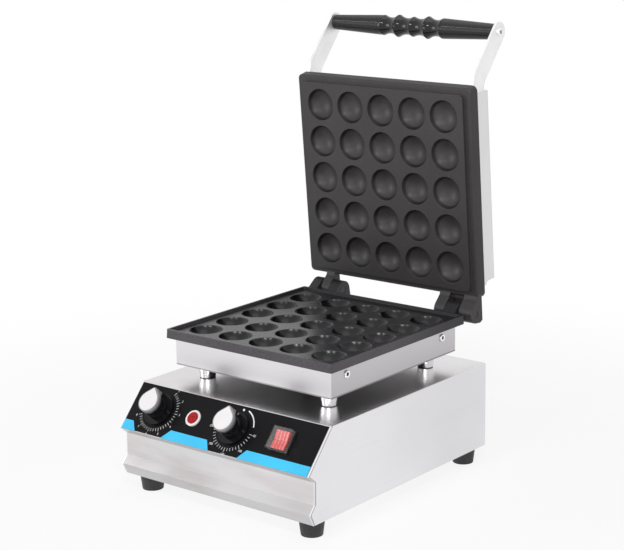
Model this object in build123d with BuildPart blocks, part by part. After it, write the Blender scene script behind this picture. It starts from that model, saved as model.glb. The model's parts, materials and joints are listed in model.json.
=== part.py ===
from build123d import *
from math import atan2, cos, hypot, radians, sin
import os

os.makedirs("parts", exist_ok=True)

# Base housing, folded from sheet steel. The y values run from the middle of the cooking plate.
base_width = 300.0
base_height = 110.0
sheet = 1.2
fold_radius = 2.5
base_back = 156.5
top_front = -160.0
nose_front = -203.6
nose_height = 61.0
step_front = -192.4
step_height = 51.8
crease_front = -193.0
crease_height = 24.2
bulge_front = -201.6
bulge_height = 13.8
bottom_front = -195.0

# Rubber feet
foot_height = 22.0
foot_top_radius = 16.0
foot_bottom_radius = 13.2
foot_side_inset = 22.0
foot_front_inset = 23.5
foot_back_inset = 18.0

# Bright round posts that carry the heating box above the base
post_height = 18.5
post_top_radius = 12.2
post_bottom_radius = 9.8
post_inset_x = 26.3
post_inset_y = 28.0

# Lower heating box
housing_height = 35.0
housing_sheet = 1.0
housing_inset_x = 8.2
housing_inset_y = 9.7

# Cups, the same on both plates
cup_count = 5
cup_pitch = 49.0
cup_radius = 21.0
cup_depth = 13.0

# Lower plate casting
side_margin = 33.5
end_margin = 38.0
skirt_drop = 7.5
rim_height = 3.8
rim_width = 2.6
rim_draft = 4.0
plate_corner = 3.0
block_depth = 8.5
block_clearance = 1.3

# Flat heating elements against the backs of the plates
heater_width = 200.0
heater_length = 190.0
heater_thickness = 6.0

# Hinges: each is a fork on one casting and a tongue on the other
hinge_reach = 19.3
hinge_rise = 1.15
open_angle = 85.5
left_outer_ear = 14.0
left_tongue = 13.6
left_inner_ear = 14.7
right_inner_ear = 15.8
right_tongue = 18.5
right_outer_ear = 20.0
hinge_side_gap = 1.6
left_hinge_inset = 7.5
right_hinge_inset = 2.8
lower_ear_radius = 13.0
lower_heel_back = 15.0
lower_heel_drop = 10.5
lid_ear_radius = 12.0
lid_chin_front = 17.6
lid_chin_rise = 2.0
lid_heel_front = 11.4
lid_heel_rise = 13.8
lid_heel_back = 13.6
lid_heel_low = 8.0
fork_web_front = 14.5
fork_web_low = 7.0
pin_radius = 4.0
pin_clearance = 0.06
pin_recess = 0.4

# Lid plate casting, given as it lies when closed
closed_gap = 1.0
lid_side_margin = 40.6
lid_end_margin = 39.0
lid_field_side_margin = 29.4
lid_field_end_margin = 29.4
lid_field_height = 4.5
lid_plate_thickness = 13.1
lid_draft = 7.5
lid_corner = 7.5
lid_edge = 1.6
field_corner = 6.0

# Lid shell
shell_inset_x = 6.3
shell_inset_y = 12.0
shell_height = 31.6
shell_sheet = 1.0
shell_notch = 4.5
shell_notch_rise = 12.0
slot_fit = 0.4

# Handle: two flat bent arms and a turned grip
arm_width = 25.5
arm_thickness = 3.0
arm_hold = 22.0
arm_rise = 13.0
arm_straight = 14.0
arm_bend = 26.0
grip_ahead = 67.3
grip_above = 51.3
grip_end_radius = 9.8
grip_swell_radius = 13.2
grip_neck_radius = 10.6
bead_radius = 14.6
bead_pitch = 23.4
grip_waist_radius = 10.8
middle_bead_radius = 13.0
rod_radius = 4.0
rod_clearance = 0.1
grip_fit = 0.2

# Control panel on the slope
overlay_margin_side = 2.5
overlay_margin_top = 0.9
overlay_margin_bottom = 0.6
overlay_thickness = 0.4
control_drop = 31.4
timer_inset = 47.5
lamp_inset = 104.4
thermostat_inset = 131.0
switch_inset = 55.6

# Knobs with a tear-shaped pointer and a pale inlay
skirt_radius = 21.0
skirt_thickness = 3.0
skirt_gap = 0.6
pointer_radius = 14.2
pointer_tip = 18.6
pointer_tip_radius = 2.6
pointer_height = 21.5
pointer_draft = 3.0
inlay_margin = 1.2
inlay_clearance = 0.05
inlay_depth = 0.8
inlay_rise = 0.3
spindle_radius = 3.0
spindle_clearance = 0.06
spindle_reach = 14.0
bush_radius = 5.0
bush_clearance = 0.3
control_body = 40.0
control_body_depth = 30.0
spindle_tail = 12.0

# Pilot lamp
lamp_flange_radius = 10.4
lamp_flange = 2.0
lamp_barrel_radius = 8.8
lamp_barrel_length = 22.0
lens_radius = 7.6
lens_rise = 1.6
lens_depth = 6.0
lamp_fit = 0.2

# Rocker switch with a clear splash cover
switch_width = 28.0
switch_length = 29.0
bezel_thickness = 2.2
switch_body_width = 23.5
switch_body_length = 25.5
switch_body_depth = 20.0
switch_fit = 0.3
rocker_width = 19.6
rocker_length = 22.6
rocker_gap = 0.6
rocker_pivot_depth = 2.5
rocker_rise = 3.6
rocker_dip = 1.6
rocker_root = 4.5
rocker_swing = 7.0
rocker_pin_radius = 1.5
rocker_pin_reach = 1.4
rocker_pin_clearance = 0.05
switch_well = 10.0
cover_height = 7.4
cover_wall = 0.8
cover_inset = 0.4

# Cable gland in the back panel and terminal block inside
gland_inset = 55.0
gland_height = 26.0
gland_radius = 8.0
gland_bore = 3.6
gland_hex = 11.0
gland_hex_length = 5.0
gland_length = 16.0
gland_tail = 8.0
gland_fit = 0.2
terminal_width = 46.0
terminal_length = 20.0
terminal_height = 16.0
terminal_back = 32.0
terminal_count = 4
terminal_slot = 1.6

# Levels
base_bottom = foot_height
base_top = base_bottom + base_height
housing_bottom = base_top + post_height
skirt_bottom = housing_bottom + housing_height
plate_z = skirt_bottom + skirt_drop

# Sizes that follow from the cup grid
grid_span = (cup_count - 1) * cup_pitch
plate_width = grid_span + 2 * side_margin
plate_length = grid_span + 2 * end_margin
housing_width = plate_width - 2 * housing_inset_x
housing_length = plate_length - 2 * housing_inset_y
lid_width = grid_span + 2 * lid_side_margin
lid_length = grid_span + 2 * lid_end_margin
shell_width = lid_width - 2 * shell_inset_x
shell_length = lid_length - 2 * shell_inset_y
cup_sphere = (cup_radius**2 + cup_depth**2) / (2 * cup_depth)

# Places across the base, from its left and right sides
timer_x = timer_inset - base_width / 2
lamp_x = lamp_inset - base_width / 2
thermostat_x = base_width / 2 - thermostat_inset
switch_x = base_width / 2 - switch_inset
gland_x = base_width / 2 - gland_inset

# Slope of the control panel
slope = atan2(base_height - nose_height, top_front - nose_front)
slope_length = hypot(base_height - nose_height, top_front - nose_front)

# The hinge axis, measured from the middle of the lower plate
hinge_from_middle = plate_length / 2 + hinge_reach

# Lid sizes measured from the hinge axis, as the lid lies closed: y towards the back, z up
lid_middle = -hinge_from_middle
lid_near = lid_middle + lid_length / 2
lid_field_z = closed_gap - hinge_rise
lid_face_z = lid_field_z + lid_field_height
lid_back_z = lid_face_z + lid_plate_thickness
shell_near = lid_middle + shell_length / 2
shell_far = lid_middle - shell_length / 2
shell_top_z = lid_back_z + shell_height
arm_z = lid_back_z + arm_rise
grip_y = shell_far - grip_ahead
grip_z = arm_z + grip_above

# The origin lies on the floor, midway between the front of the knobs and the back of the grip
tilt = radians(open_angle)
knob_top = overlay_thickness + skirt_gap + skirt_thickness + pointer_height
front_reach = top_front - control_drop * cos(slope) - knob_top * sin(slope) - pointer_radius * cos(slope)
back_reach = hinge_from_middle + grip_y * cos(tilt) + grip_z * sin(tilt) + bead_radius
plate_y = -(front_reach + back_reach) / 2
hinge_y = plate_y + hinge_from_middle
hinge_z = plate_z + hinge_rise

# The panel plane: x to the right, y up the slope, z out of the panel
panel = Plane(
    origin=(0, plate_y + top_front, base_top),
    x_dir=(1, 0, 0),
    z_dir=(0, -sin(slope), cos(slope)),
)

# The lid planes, tilted open about the hinge axis
lid_plane = Plane(
    origin=(0, hinge_y, hinge_z),
    x_dir=(1, 0, 0),
    z_dir=(0, sin(tilt), cos(tilt)),
)
lid_side = Plane(origin=lid_plane.origin, x_dir=lid_plane.y_dir, z_dir=lid_plane.x_dir)
lid_up = Axis(origin=lid_plane.origin, direction=lid_plane.z_dir)
panel_up = Axis(origin=panel.origin, direction=panel.z_dir)
plate_plane = Plane(origin=(0, plate_y, plate_z))
hinge_side = Plane(origin=(0, hinge_y, hinge_z), x_dir=(0, 1, 0), z_dir=(1, 0, 0))

# Side outline of the base: sloping panel, undercut nose and a rounded fold near the floor
with BuildSketch(Plane.YZ) as base_profile:
    with BuildLine():
        Polyline(
            (plate_y + bottom_front, base_bottom),
            (plate_y + bulge_front, base_bottom + bulge_height),
            (plate_y + crease_front, base_bottom + crease_height),
            (plate_y + step_front, base_bottom + step_height),
            (plate_y + nose_front, base_bottom + nose_height),
            (plate_y + top_front, base_top),
            (plate_y + base_back, base_top),
            (plate_y + base_back, base_bottom),
            close=True,
        )
    make_face()
    front_corners = vertices().group_by(Axis.Y)[:-1]
    fillet([v for group in front_corners for v in group if v.Z > base_bottom + sheet], fold_radius)

# Folded wrapper: top, sloping panel and front in one sheet
wrap_half = base_width / 2 - sheet
with BuildPart() as base_shell:
    with BuildSketch(Plane.YZ):
        add(base_profile.sketch_local)
    extrude(amount=wrap_half, both=True)
    open_sides = faces().filter_by(Axis.X)
    back_face = faces().sort_by(Axis.Y)[-1]
    under_face = faces().sort_by(Axis.Z)[0]
    offset(amount=-sheet, openings=[*open_sides, back_face, under_face])
    with BuildSketch(panel):
        with Locations((timer_x, -control_drop), (thermostat_x, -control_drop)):
            Circle(bush_radius + bush_clearance)
        with Locations((lamp_x, -control_drop)):
            Circle(lamp_barrel_radius + lamp_fit)
        with Locations((switch_x, -control_drop)):
            Rectangle(switch_body_width + 2 * switch_fit, switch_body_length + 2 * switch_fit)
    extrude(amount=-2 * sheet, mode=Mode.SUBTRACT)
base_shell.part.label = "base_shell"
export_step(base_shell.part, "parts/base_shell.step")

# Side panels, flush with the outline of the wrapper
with BuildPart() as side_panel_right:
    with BuildSketch(Plane.YZ.offset(wrap_half)):
        add(base_profile.sketch_local)
    extrude(amount=sheet)
side_panel_right.part.label = "side_panel_right"
export_step(side_panel_right.part, "parts/side_panel_right.step")

with BuildPart() as side_panel_left:
    add(mirror(side_panel_right.part, about=Plane.YZ))
side_panel_left.part.label = "side_panel_left"
export_step(side_panel_left.part, "parts/side_panel_left.step")

# Back panel between the side panels, with the hole for the gland
gland_z = base_bottom + gland_height
with BuildPart() as back_panel:
    with BuildSketch(Plane.XZ.offset(-plate_y - base_back)):
        with Locations((0, base_bottom + (base_height - sheet) / 2)):
            Rectangle(2 * wrap_half, base_height - sheet)
        with Locations((gland_x, gland_z)):
            Circle(gland_radius + gland_fit, mode=Mode.SUBTRACT)
    extrude(amount=sheet)
back_panel.part.label = "back_panel"
export_step(back_panel.part, "parts/back_panel.step")

# Floor pan
pan_front = plate_y + bottom_front + 2 * sheet
pan_back = plate_y + base_back - sheet
with BuildPart() as bottom_plate:
    with BuildSketch(Plane.XY.offset(base_bottom)):
        with Locations((0, (pan_front + pan_back) / 2)):
            Rectangle(2 * wrap_half, pan_back - pan_front)
    extrude(amount=sheet)
bottom_plate.part.label = "bottom_plate"
export_step(bottom_plate.part, "parts/bottom_plate.step")

# Tapered rubber foot, one under each corner
foot_x = base_width / 2 - foot_side_inset
foot_y_front = plate_y + bottom_front + foot_front_inset
foot_y_back = plate_y + base_back - foot_back_inset
with BuildPart() as foot:
    with BuildSketch(Plane.XZ):
        with BuildLine():
            Polyline(
                (0, foot_height),
                (foot_top_radius, foot_height),
                (foot_bottom_radius, 0),
                (0, 0),
                close=True,
            )
        make_face()
    revolve(axis=Axis.Z)

foot_spots = {
    "foot_front_left": (-foot_x, foot_y_front),
    "foot_front_right": (foot_x, foot_y_front),
    "foot_back_left": (-foot_x, foot_y_back),
    "foot_back_right": (foot_x, foot_y_back),
}
for foot_name, foot_spot in foot_spots.items():
    with BuildPart() as placed_foot:
        with Locations(foot_spot):
            add(foot.part)
    placed_foot.part.label = foot_name
    export_step(placed_foot.part, f"parts/{foot_name}.step")

# Four turned posts between the base and the heating box, narrower at the base
post_x = housing_width / 2 - post_inset_x
post_y = housing_length / 2 - post_inset_y
with BuildPart() as support_posts:
    with Locations(Plane(origin=(0, plate_y, base_top + post_height / 2))):
        with GridLocations(2 * post_x, 2 * post_y, 2, 2):
            Cone(post_bottom_radius, post_top_radius, post_height)
support_posts.part.label = "support_posts"
export_step(support_posts.part, "parts/support_posts.step")

# Lower heating box: a folded tray under the plate
with BuildPart() as lower_housing:
    with BuildSketch(Plane(origin=(0, plate_y, housing_bottom))):
        Rectangle(housing_width, housing_length)
    extrude(amount=housing_height)
    tray_top = faces().sort_by(Axis.Z)[-1]
    offset(amount=-housing_sheet, openings=tray_top)
lower_housing.part.label = "lower_housing"
export_step(lower_housing.part, "parts/lower_housing.step")

# Where each ear and tongue begins along the hinge axis
left_fork_start = left_hinge_inset - plate_width / 2
left_tongue_start = left_fork_start + left_outer_ear + hinge_side_gap
left_inner_start = left_tongue_start + left_tongue + hinge_side_gap
right_fork_end = lid_width / 2 - right_hinge_inset
right_outer_start = right_fork_end - right_outer_ear
right_tongue_start = right_outer_start - hinge_side_gap - right_tongue
right_inner_start = right_tongue_start - hinge_side_gap - right_inner_ear
lower_ears = (
    (left_fork_start, left_outer_ear),
    (left_inner_start, left_inner_ear),
    (right_tongue_start, right_tongue),
)
lid_ears = (
    (left_tongue_start, left_tongue),
    (right_inner_start, right_inner_ear),
    (right_outer_start, right_outer_ear),
)

# Lower plate: casting with a raised rim, 25 round cups and its half of the hinges
block_width = housing_width - 2 * (housing_sheet + block_clearance)
block_length = housing_length - 2 * (housing_sheet + block_clearance)
skirt_height = skirt_drop + rim_height
rim_inset = rim_width + skirt_height * sin(radians(rim_draft))
lower_root = -hinge_reach - pin_radius
with BuildSketch() as lower_ear:
    Circle(lower_ear_radius)
    Polygon(
        (lower_root, -hinge_rise - pin_clearance),
        (lower_root, -hinge_rise - skirt_drop),
        (lower_heel_back, -lower_heel_drop),
        align=None,
    )
    make_hull()
with BuildPart() as lower_plate:
    with BuildSketch(plate_plane.offset(-skirt_drop)):
        RectangleRounded(plate_width, plate_length, plate_corner)
    extrude(amount=skirt_height, taper=rim_draft)
    with BuildSketch(plate_plane):
        RectangleRounded(plate_width - 2 * rim_inset, plate_length - 2 * rim_inset, plate_corner)
    extrude(amount=rim_height, mode=Mode.SUBTRACT)
    with BuildSketch(plate_plane.offset(-skirt_drop)):
        RectangleRounded(block_width, block_length, plate_corner)
    extrude(amount=-block_depth)
    for ear_start, ear_width in lower_ears:
        with BuildSketch(hinge_side.offset(ear_start)):
            add(lower_ear.sketch_local)
        extrude(amount=ear_width)
    with BuildSketch(hinge_side):
        Circle(pin_radius + pin_clearance)
    extrude(amount=plate_width, both=True, mode=Mode.SUBTRACT)
    with Locations(plate_plane.offset(cup_sphere - cup_depth)):
        with GridLocations(cup_pitch, cup_pitch, cup_count, cup_count):
            Sphere(cup_sphere, rotation=(90, 0, 0), mode=Mode.SUBTRACT)
lower_plate.part.label = "lower_plate"
export_step(lower_plate.part, "parts/lower_plate.step")

# Lower heating element, flat against the underside of the plate
with BuildPart() as lower_heater:
    with BuildSketch(plate_plane.offset(-skirt_drop - block_depth)):
        Rectangle(heater_width, heater_length)
    extrude(amount=-heater_thickness)
lower_heater.part.label = "lower_heater"
export_step(lower_heater.part, "parts/lower_heater.step")

# Lid plate: casting with rounded corners, a raised field of cups and its half of the hinges
lid_root = lid_near - pin_radius
with BuildSketch() as lid_ear:
    Circle(lid_ear_radius)
    Polygon(
        (-lid_chin_front, lid_chin_rise),
        (-lid_chin_front, lid_heel_rise),
        (lid_heel_front, lid_heel_rise),
        (lid_heel_back, lid_heel_low),
        align=None,
    )
    make_hull()
    Polygon(
        (-lid_chin_front, lid_chin_rise),
        (-lid_chin_front, lid_heel_rise),
        (lid_root, lid_heel_rise),
        (lid_root, lid_face_z),
        align=None,
    )
lid_field_width = grid_span + 2 * lid_field_side_margin
lid_field_length = grid_span + 2 * lid_field_end_margin
with BuildPart() as lid_plate:
    with BuildSketch(lid_plane.offset(lid_back_z)):
        with Locations((0, lid_middle)):
            RectangleRounded(lid_width, lid_length, lid_corner)
    extrude(amount=-lid_plate_thickness, taper=lid_draft)
    face_rim = edges().group_by(lid_up)[0]
    chamfer(face_rim, lid_edge)
    with BuildSketch(lid_plane.offset(lid_face_z)):
        with Locations((0, lid_middle)):
            RectangleRounded(lid_field_width, lid_field_length, field_corner)
    extrude(amount=-lid_field_height)
    for ear_start, ear_width in lid_ears:
        with BuildSketch(lid_side.offset(ear_start)):
            add(lid_ear.sketch_local)
        extrude(amount=ear_width)
    with BuildSketch(lid_side.offset(right_inner_start)):
        with Locations(((lid_root - fork_web_front) / 2, (fork_web_low + lid_heel_rise) / 2)):
            Rectangle(-lid_root - fork_web_front, lid_heel_rise - fork_web_low)
    extrude(amount=right_fork_end - right_inner_start)
    with BuildSketch(lid_side):
        Circle(pin_radius + pin_clearance)
    extrude(amount=lid_width, both=True, mode=Mode.SUBTRACT)
    with Locations(lid_plane.offset(lid_field_z - cup_sphere + cup_depth)):
        with Locations((0, lid_middle, 0)):
            with GridLocations(cup_pitch, cup_pitch, cup_count, cup_count):
                Sphere(cup_sphere, rotation=(90, 0, 0), mode=Mode.SUBTRACT)
lid_plate.part.label = "lid_plate"
export_step(lid_plate.part, "parts/lid_plate.step")

# Hinge pins, each lying inside its fork and tongue
left_fork_end = left_inner_start + left_inner_ear
pin_spans = {
    "hinge_pin_left": (left_fork_start + pin_recess, left_fork_end - pin_recess),
    "hinge_pin_right": (right_inner_start + pin_recess, right_fork_end - pin_recess),
}
for pin_name, (pin_from, pin_to) in pin_spans.items():
    with BuildPart() as hinge_pin:
        with BuildSketch(hinge_side.offset(pin_from)):
            Circle(pin_radius)
        extrude(amount=pin_to - pin_from)
    hinge_pin.part.label = pin_name
    export_step(hinge_pin.part, f"parts/{pin_name}.step")

# Lid shell: sheet box on the back of the plate, stepped at its hinge end, with slots for the arms
arm_outer = shell_width / 2 - shell_sheet
arm_inner = arm_outer - arm_thickness
slot_width = arm_thickness + slot_fit
with BuildPart() as lid_shell:
    with BuildSketch(lid_side):
        with BuildLine():
            Polyline(
                (shell_far, lid_back_z),
                (shell_near, lid_back_z),
                (shell_near, lid_back_z + shell_notch_rise),
                (shell_near - shell_notch, lid_back_z + shell_notch_rise + shell_notch),
                (shell_near - shell_notch, shell_top_z),
                (shell_far, shell_top_z),
                close=True,
            )
        make_face()
    extrude(amount=shell_width / 2, both=True)
    shell_mouth = faces().sort_by(lid_up)[0]
    offset(amount=-shell_sheet, openings=shell_mouth)
    with BuildSketch(lid_plane.offset(arm_z - arm_width / 2 - slot_fit)):
        with Locations((0, shell_far)):
            with GridLocations(2 * arm_outer - slot_width, 0, 2, 1):
                Rectangle(slot_width, 4 * shell_sheet)
    extrude(amount=arm_width + 2 * slot_fit, mode=Mode.SUBTRACT)
lid_shell.part.label = "lid_shell"
export_step(lid_shell.part, "parts/lid_shell.step")

# Lid heating element, flat against the back of the lid plate
with BuildPart() as lid_heater:
    with BuildSketch(lid_plane.offset(lid_back_z)):
        with Locations((0, lid_middle)):
            Rectangle(heater_width, heater_length)
    extrude(amount=heater_thickness)
lid_heater.part.label = "lid_heater"
export_step(lid_heater.part, "parts/lid_heater.step")

# Handle arms: flat bars that run out of the shell, bend back and end in an eye at the grip
for arm_name, arm_start in (("handle_arm_left", -arm_outer), ("handle_arm_right", arm_inner)):
    with BuildPart() as handle_arm:
        with BuildSketch(lid_side.offset(arm_start)):
            with BuildLine():
                FilletPolyline(
                    (shell_far + arm_hold, arm_z),
                    (shell_far - arm_straight, arm_z),
                    (grip_y, grip_z),
                    radius=arm_bend,
                )
            trace(line_width=arm_width)
            with Locations((grip_y, grip_z)):
                Circle(arm_width / 2)
                Circle(rod_radius + rod_clearance, mode=Mode.SUBTRACT)
        extrude(amount=arm_thickness)
    handle_arm.part.label = arm_name
    export_step(handle_arm.part, f"parts/{arm_name}.step")

# Turned grip with three ridged beads between two tapered ends
grip_plane = Plane(
    origin=lid_plane.from_local_coords((0, grip_y, grip_z)),
    x_dir=(1, 0, 0),
    z_dir=lid_plane.z_dir,
)
grip_axis = Axis(origin=grip_plane.origin, direction=(1, 0, 0))
grip_end = arm_inner - grip_fit
with BuildPart() as handle_grip:
    with BuildSketch(grip_plane):
        with BuildLine():
            ThreePointArc(
                (0, middle_bead_radius),
                (bead_pitch / 2, grip_waist_radius),
                (bead_pitch, bead_radius),
            )
            ThreePointArc(
                (bead_pitch, bead_radius),
                (3 * bead_pitch / 2, grip_neck_radius),
                (2 * bead_pitch, grip_swell_radius),
            )
            Polyline(
                (2 * bead_pitch, grip_swell_radius),
                (grip_end, grip_end_radius),
                (grip_end, rod_radius + rod_clearance),
                (0, rod_radius + rod_clearance),
                (0, middle_bead_radius),
            )
        make_face()
        mirror(about=Plane.YZ)
    revolve(axis=grip_axis)
handle_grip.part.label = "handle_grip"
export_step(handle_grip.part, "parts/handle_grip.step")

# Rod through the grip and the eyes of both arms
with BuildPart() as handle_rod:
    with BuildSketch(Plane(origin=grip_plane.origin, x_dir=(0, 1, 0), z_dir=(1, 0, 0))):
        Circle(rod_radius)
    extrude(amount=arm_outer, both=True)
handle_rod.part.label = "handle_rod"
export_step(handle_rod.part, "parts/handle_rod.step")

# Printed control overlay on the slope
overlay_length = slope_length - overlay_margin_top - overlay_margin_bottom
overlay_middle = -overlay_margin_top - overlay_length / 2
with BuildPart() as control_overlay:
    with BuildSketch(panel):
        with Locations((0, overlay_middle)):
            Rectangle(base_width - 2 * overlay_margin_side, overlay_length)
        with Locations((timer_x, -control_drop), (thermostat_x, -control_drop)):
            Circle(bush_radius + bush_clearance, mode=Mode.SUBTRACT)
        with Locations((lamp_x, -control_drop)):
            Circle(lamp_barrel_radius + lamp_fit, mode=Mode.SUBTRACT)
        with Locations((switch_x, -control_drop)):
            Rectangle(
                switch_body_width + 2 * switch_fit,
                switch_body_length + 2 * switch_fit,
                mode=Mode.SUBTRACT,
            )
    extrude(amount=overlay_thickness)
control_overlay.part.label = "control_overlay"
export_step(control_overlay.part, "parts/control_overlay.step")

# Timer and thermostat: knob, pale inlay, spindle and the body behind the panel
knob_seat = overlay_thickness + skirt_gap
pointer_base = knob_seat + skirt_thickness
draft_growth = pointer_height * sin(radians(pointer_draft)) / cos(radians(pointer_draft))
for control_name, control_x in (("timer", timer_x), ("thermostat", thermostat_x)):
    with BuildPart() as knob:
        with BuildSketch(panel.offset(knob_seat)):
            with Locations((control_x, -control_drop)):
                Circle(skirt_radius)
        extrude(amount=skirt_thickness)
        with BuildSketch(panel.offset(pointer_base)):
            with Locations((control_x, -control_drop)):
                Circle(pointer_radius + draft_growth)
            with Locations((control_x, pointer_tip - pointer_tip_radius - control_drop)):
                Circle(pointer_tip_radius + draft_growth)
            make_hull()
        extrude(amount=pointer_height, taper=pointer_draft)
        with BuildSketch(panel.offset(pointer_base + pointer_height)):
            with Locations((control_x, -control_drop)):
                Circle(pointer_radius - inlay_margin)
            with Locations((control_x, pointer_tip - pointer_tip_radius - control_drop)):
                Circle(pointer_tip_radius - inlay_margin)
            make_hull()
        extrude(amount=-inlay_depth, mode=Mode.SUBTRACT)
        with BuildSketch(panel.offset(knob_seat)):
            with Locations((control_x, -control_drop)):
                Circle(spindle_radius)
        extrude(amount=spindle_reach, mode=Mode.SUBTRACT)
    knob.part.label = f"{control_name}_knob"
    export_step(knob.part, f"parts/{control_name}_knob.step")

    with BuildPart() as inlay:
        with BuildSketch(panel.offset(pointer_base + pointer_height - inlay_depth)):
            with Locations((control_x, -control_drop)):
                Circle(pointer_radius - inlay_margin - inlay_clearance)
            with Locations((control_x, pointer_tip - pointer_tip_radius - control_drop)):
                Circle(pointer_tip_radius - inlay_margin - inlay_clearance)
            make_hull()
        extrude(amount=inlay_depth + inlay_rise)
    inlay.part.label = f"{control_name}_inlay"
    export_step(inlay.part, f"parts/{control_name}_inlay.step")

    with BuildPart() as spindle:
        with BuildSketch(panel.offset(-sheet - spindle_tail)):
            with Locations((control_x, -control_drop)):
                Circle(spindle_radius)
        extrude(amount=sheet + spindle_tail + knob_seat + spindle_reach)
    spindle.part.label = f"{control_name}_spindle"
    export_step(spindle.part, f"parts/{control_name}_spindle.step")

    with BuildPart() as body:
        with BuildSketch(panel.offset(-sheet)):
            with Locations((control_x, -control_drop)):
                Rectangle(control_body, control_body)
        extrude(amount=-control_body_depth)
        with BuildSketch(panel.offset(-sheet)):
            with Locations((control_x, -control_drop)):
                Circle(bush_radius)
        extrude(amount=sheet + overlay_thickness)
        with BuildSketch(panel.offset(overlay_thickness)):
            with Locations((control_x, -control_drop)):
                Circle(spindle_radius + spindle_clearance)
        extrude(amount=-(overlay_thickness + sheet + spindle_tail + skirt_gap), mode=Mode.SUBTRACT)
    body.part.label = f"{control_name}_body"
    export_step(body.part, f"parts/{control_name}_body.step")

# Pilot lamp: flanged barrel through the panel, with a red lens
with BuildPart() as lamp_bezel:
    with BuildSketch(panel.offset(overlay_thickness)):
        with Locations((lamp_x, -control_drop)):
            Circle(lamp_flange_radius)
    extrude(amount=lamp_flange)
    with BuildSketch(panel.offset(overlay_thickness)):
        with Locations((lamp_x, -control_drop)):
            Circle(lamp_barrel_radius)
    extrude(amount=-lamp_barrel_length)
    with BuildSketch(panel.offset(overlay_thickness + lamp_flange)):
        with Locations((lamp_x, -control_drop)):
            Circle(lens_radius)
    extrude(amount=-lens_depth, mode=Mode.SUBTRACT)
lamp_bezel.part.label = "lamp_bezel"
export_step(lamp_bezel.part, "parts/lamp_bezel.step")

with BuildPart() as lamp_lens:
    with BuildSketch(panel.offset(overlay_thickness + lamp_flange - lens_depth)):
        with Locations((lamp_x, -control_drop)):
            Circle(lens_radius)
    extrude(amount=lens_depth + lens_rise)
    lens_rim = edges().group_by(panel_up)[-1]
    chamfer(lens_rim, lens_rise / 2)
lamp_lens.part.label = "lamp_lens"
export_step(lamp_lens.part, "parts/lamp_lens.step")

# Rocker switch: bezel and body with a well for the rocker
bezel_top = overlay_thickness + bezel_thickness
pivot_z = bezel_top - rocker_pivot_depth
well_width = rocker_width + 2 * rocker_gap
pivot_side = Plane(
    origin=panel.from_local_coords((switch_x, -control_drop, pivot_z)),
    x_dir=panel.y_dir,
    z_dir=panel.x_dir,
)
rocker_pin_end = rocker_width / 2 + rocker_pin_reach
with BuildPart() as switch_frame:
    with BuildSketch(panel.offset(overlay_thickness)):
        with Locations((switch_x, -control_drop)):
            Rectangle(switch_width, switch_length)
    extrude(amount=bezel_thickness)
    with BuildSketch(panel.offset(overlay_thickness)):
        with Locations((switch_x, -control_drop)):
            Rectangle(switch_body_width, switch_body_length)
    extrude(amount=-switch_body_depth)
    with BuildSketch(panel.offset(bezel_top)):
        with Locations((switch_x, -control_drop)):
            Rectangle(well_width, rocker_length + 2 * rocker_gap)
    extrude(amount=-switch_well, mode=Mode.SUBTRACT)
    with BuildSketch(pivot_side):
        Circle(rocker_pin_radius + rocker_pin_clearance)
    extrude(amount=rocker_pin_end + rocker_pin_clearance, both=True, mode=Mode.SUBTRACT)
switch_frame.part.label = "switch_frame"
export_step(switch_frame.part, "parts/switch_frame.step")

# Rocker, tipped to one side as it rests
rocker_half = rocker_length / 2
rocker_horn = rocker_pivot_depth + rocker_rise
rocker_side = Plane(pivot_side.location * Rotation(0, 0, rocker_swing))
with BuildPart() as switch_rocker:
    with BuildSketch(rocker_side):
        with BuildLine():
            Polyline(
                (rocker_root - rocker_half, -rocker_root),
                (rocker_half - rocker_root, -rocker_root),
                (rocker_half, 0),
                (rocker_half, rocker_horn),
                (0, rocker_horn - rocker_dip),
                (-rocker_half, rocker_horn),
                (-rocker_half, 0),
                close=True,
            )
        make_face()
    extrude(amount=rocker_width / 2, both=True)
    with BuildSketch(pivot_side):
        Circle(rocker_pin_radius)
    extrude(amount=rocker_pin_end, both=True)
switch_rocker.part.label = "switch_rocker"
export_step(switch_rocker.part, "parts/switch_rocker.step")

# Clear splash cover over the rocker
with BuildPart() as switch_cover:
    with BuildSketch(panel.offset(bezel_top)):
        with Locations((switch_x, -control_drop)):
            Rectangle(switch_width - 2 * cover_inset, switch_length - 2 * cover_inset)
    extrude(amount=cover_height)
    cover_mouth = faces().sort_by(panel_up)[0]
    offset(amount=-cover_wall, openings=cover_mouth)
switch_cover.part.label = "switch_cover"
export_step(switch_cover.part, "parts/switch_cover.step")

# Cable gland through the back panel
gland_plane = Plane(origin=(gland_x, plate_y + base_back, gland_z), x_dir=(-1, 0, 0), z_dir=(0, 1, 0))
with BuildPart() as cable_gland:
    with BuildSketch(gland_plane):
        RegularPolygon(gland_hex, 6)
    extrude(amount=gland_hex_length)
    with BuildSketch(gland_plane.offset(-gland_tail)):
        Circle(gland_radius)
    extrude(amount=gland_tail + gland_length)
    with BuildSketch(gland_plane.offset(gland_length)):
        Circle(gland_bore)
    extrude(amount=-(gland_length + gland_tail), mode=Mode.SUBTRACT)
cable_gland.part.label = "cable_gland"
export_step(cable_gland.part, "parts/cable_gland.step")

# Terminal block on the floor pan, with a slot between each pair of terminals
terminal_pitch = terminal_width / terminal_count
with BuildPart() as terminal_block:
    with BuildSketch(Plane.XY.offset(base_bottom + sheet)):
        with Locations((gland_x, plate_y + base_back - terminal_back)):
            Rectangle(terminal_width, terminal_length)
    extrude(amount=terminal_height)
    with BuildSketch(Plane.XY.offset(base_bottom + sheet + terminal_height)):
        with Locations((gland_x, plate_y + base_back - terminal_back)):
            with GridLocations(terminal_pitch, 0, terminal_count - 1, 1):
                Rectangle(terminal_slot, terminal_length)
    extrude(amount=-terminal_height / 2, mode=Mode.SUBTRACT)
terminal_block.part.label = "terminal_block"
export_step(terminal_block.part, "parts/terminal_block.step")
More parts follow.
